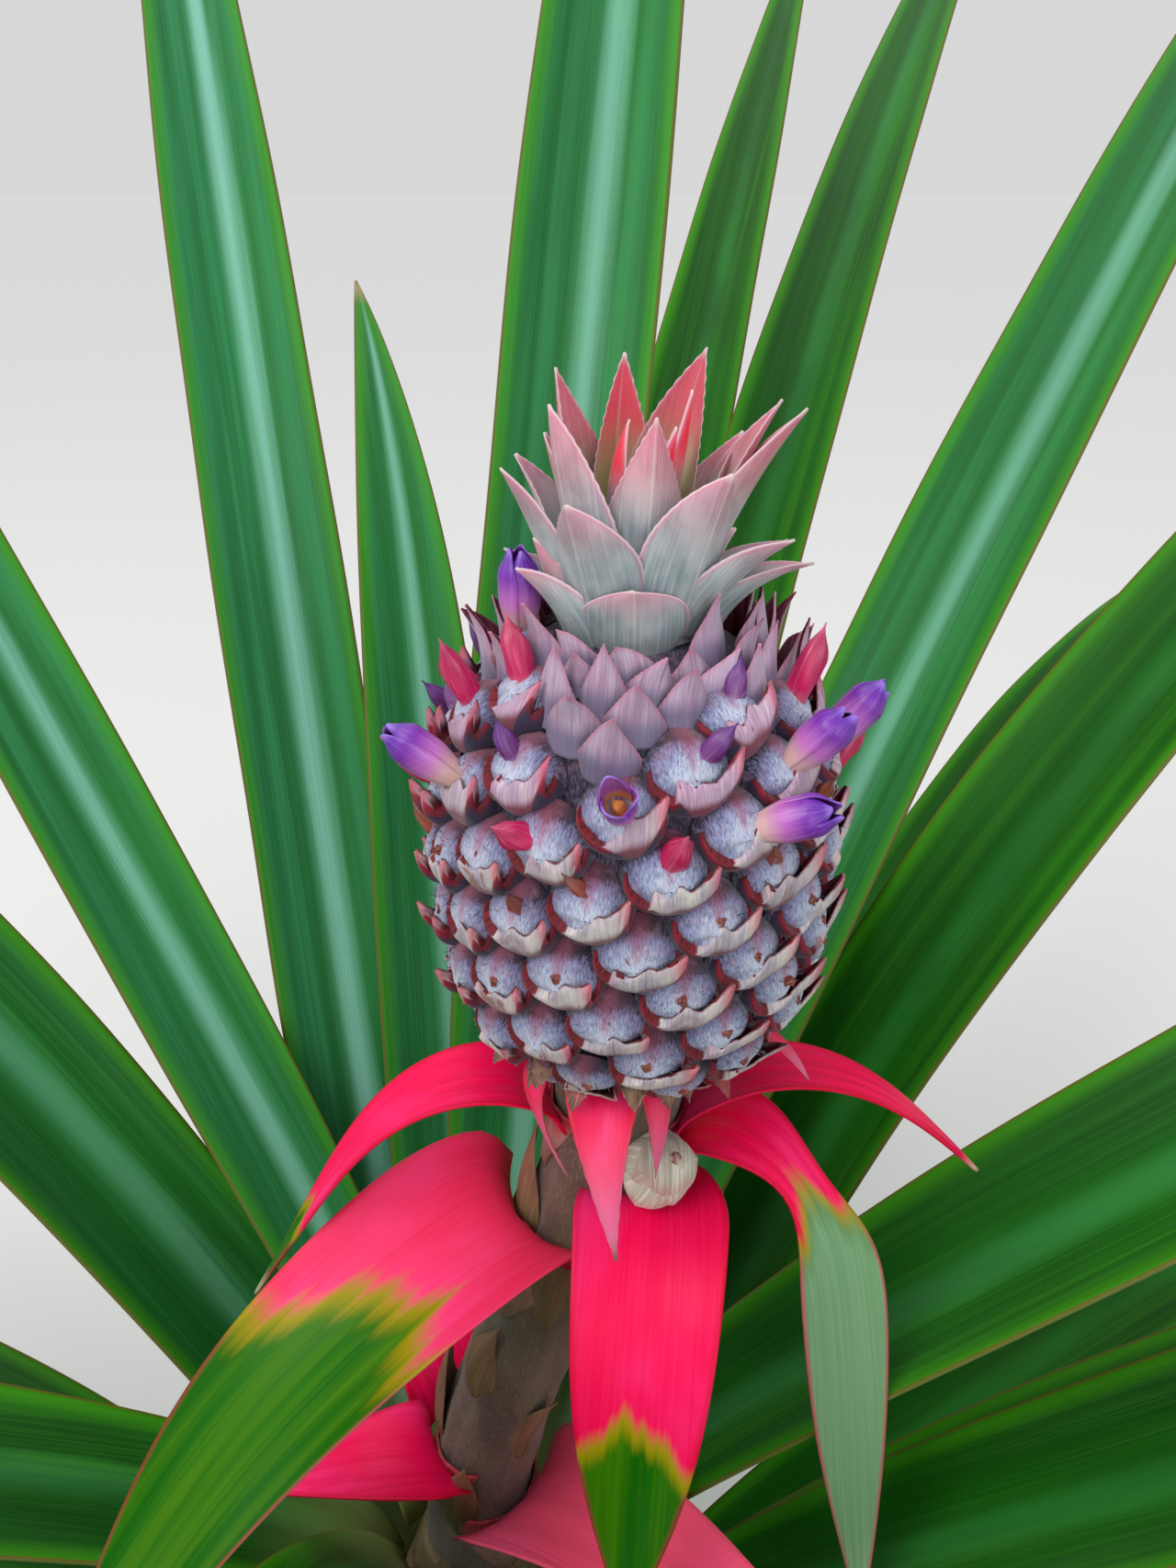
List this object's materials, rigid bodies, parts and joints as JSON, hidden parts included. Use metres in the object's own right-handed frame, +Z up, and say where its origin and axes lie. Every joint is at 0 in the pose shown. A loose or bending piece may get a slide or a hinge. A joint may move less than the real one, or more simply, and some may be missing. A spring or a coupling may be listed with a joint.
{
  "type": "pineapple plant",
  "caption": "Pineapple plant in fruit: a rosette of long arching leaves on a short stem, and a leaning stalk that bears a flowering fruit with its leafy crown.",
  "frame": {"origin": "on the ground, in the middle of the stem's flat foot", "axes": "+Z up along the stem; the fruit's stalk leans towards +X; the picture looks along +Y"},
  "size_m": [1.3903, 1.3496, 0.8253],
  "materials": {
    "stem_bark": "dull brown bark with old leaf scars",
    "stalk_skin": "purplish grey, softly woolly",
    "fruit_skin": "woolly grey-violet fruitlets with papery bracts and purple flowers",
    "crown_leaf": "grey-green small leaves with pink toothed margins",
    "stalk_leaf": "satin red that turns green towards the tip",
    "rosette_leaf": "satin deep green with a pale channel and yellow-green margins"
  },
  "bodies": {
    "root": {"stem": "stem_bark", "stalk": "stalk_skin", "fruit": "fruit_skin", "crown": "crown_leaf", "stalk_leaf_low_front": "stalk_leaf", "stalk_leaf_low_back": "stalk_leaf", "stalk_leaf_low_left": "stalk_leaf", "stalk_leaf_left": "stalk_leaf", "stalk_leaf_back": "stalk_leaf", "stalk_leaf_front": "stalk_leaf", "stalk_leaf_right": "stalk_leaf", "stalk_leaf_upper_back": "stalk_leaf", "stalk_leaf_upper_left": "stalk_leaf", "stalk_leaf_upper_right": "stalk_leaf", "leaf_01": "rosette_leaf", "leaf_02": "rosette_leaf", "leaf_03": "rosette_leaf", "leaf_04": "rosette_leaf", "leaf_05": "rosette_leaf", "leaf_06": "rosette_leaf", "leaf_07": "rosette_leaf", "leaf_08": "rosette_leaf", "leaf_09": "rosette_leaf", "leaf_10": "rosette_leaf", "leaf_11": "rosette_leaf", "leaf_12": "rosette_leaf", "leaf_13": "rosette_leaf", "leaf_14": "rosette_leaf", "leaf_15": "rosette_leaf", "leaf_16": "rosette_leaf", "leaf_17": "rosette_leaf", "leaf_18": "rosette_leaf", "leaf_19": "rosette_leaf", "leaf_20": "rosette_leaf", "leaf_21": "rosette_leaf", "leaf_22": "rosette_leaf", "leaf_23": "rosette_leaf", "leaf_24": "rosette_leaf", "leaf_25": "rosette_leaf", "leaf_27": "rosette_leaf", "leaf_28": "rosette_leaf", "leaf_29": "rosette_leaf", "leaf_30": "rosette_leaf", "leaf_31": "rosette_leaf", "leaf_32": "rosette_leaf", "leaf_33": "rosette_leaf", "leaf_34": "rosette_leaf", "leaf_35": "rosette_leaf", "leaf_36": "rosette_leaf"}
  },
  "joints": []
}
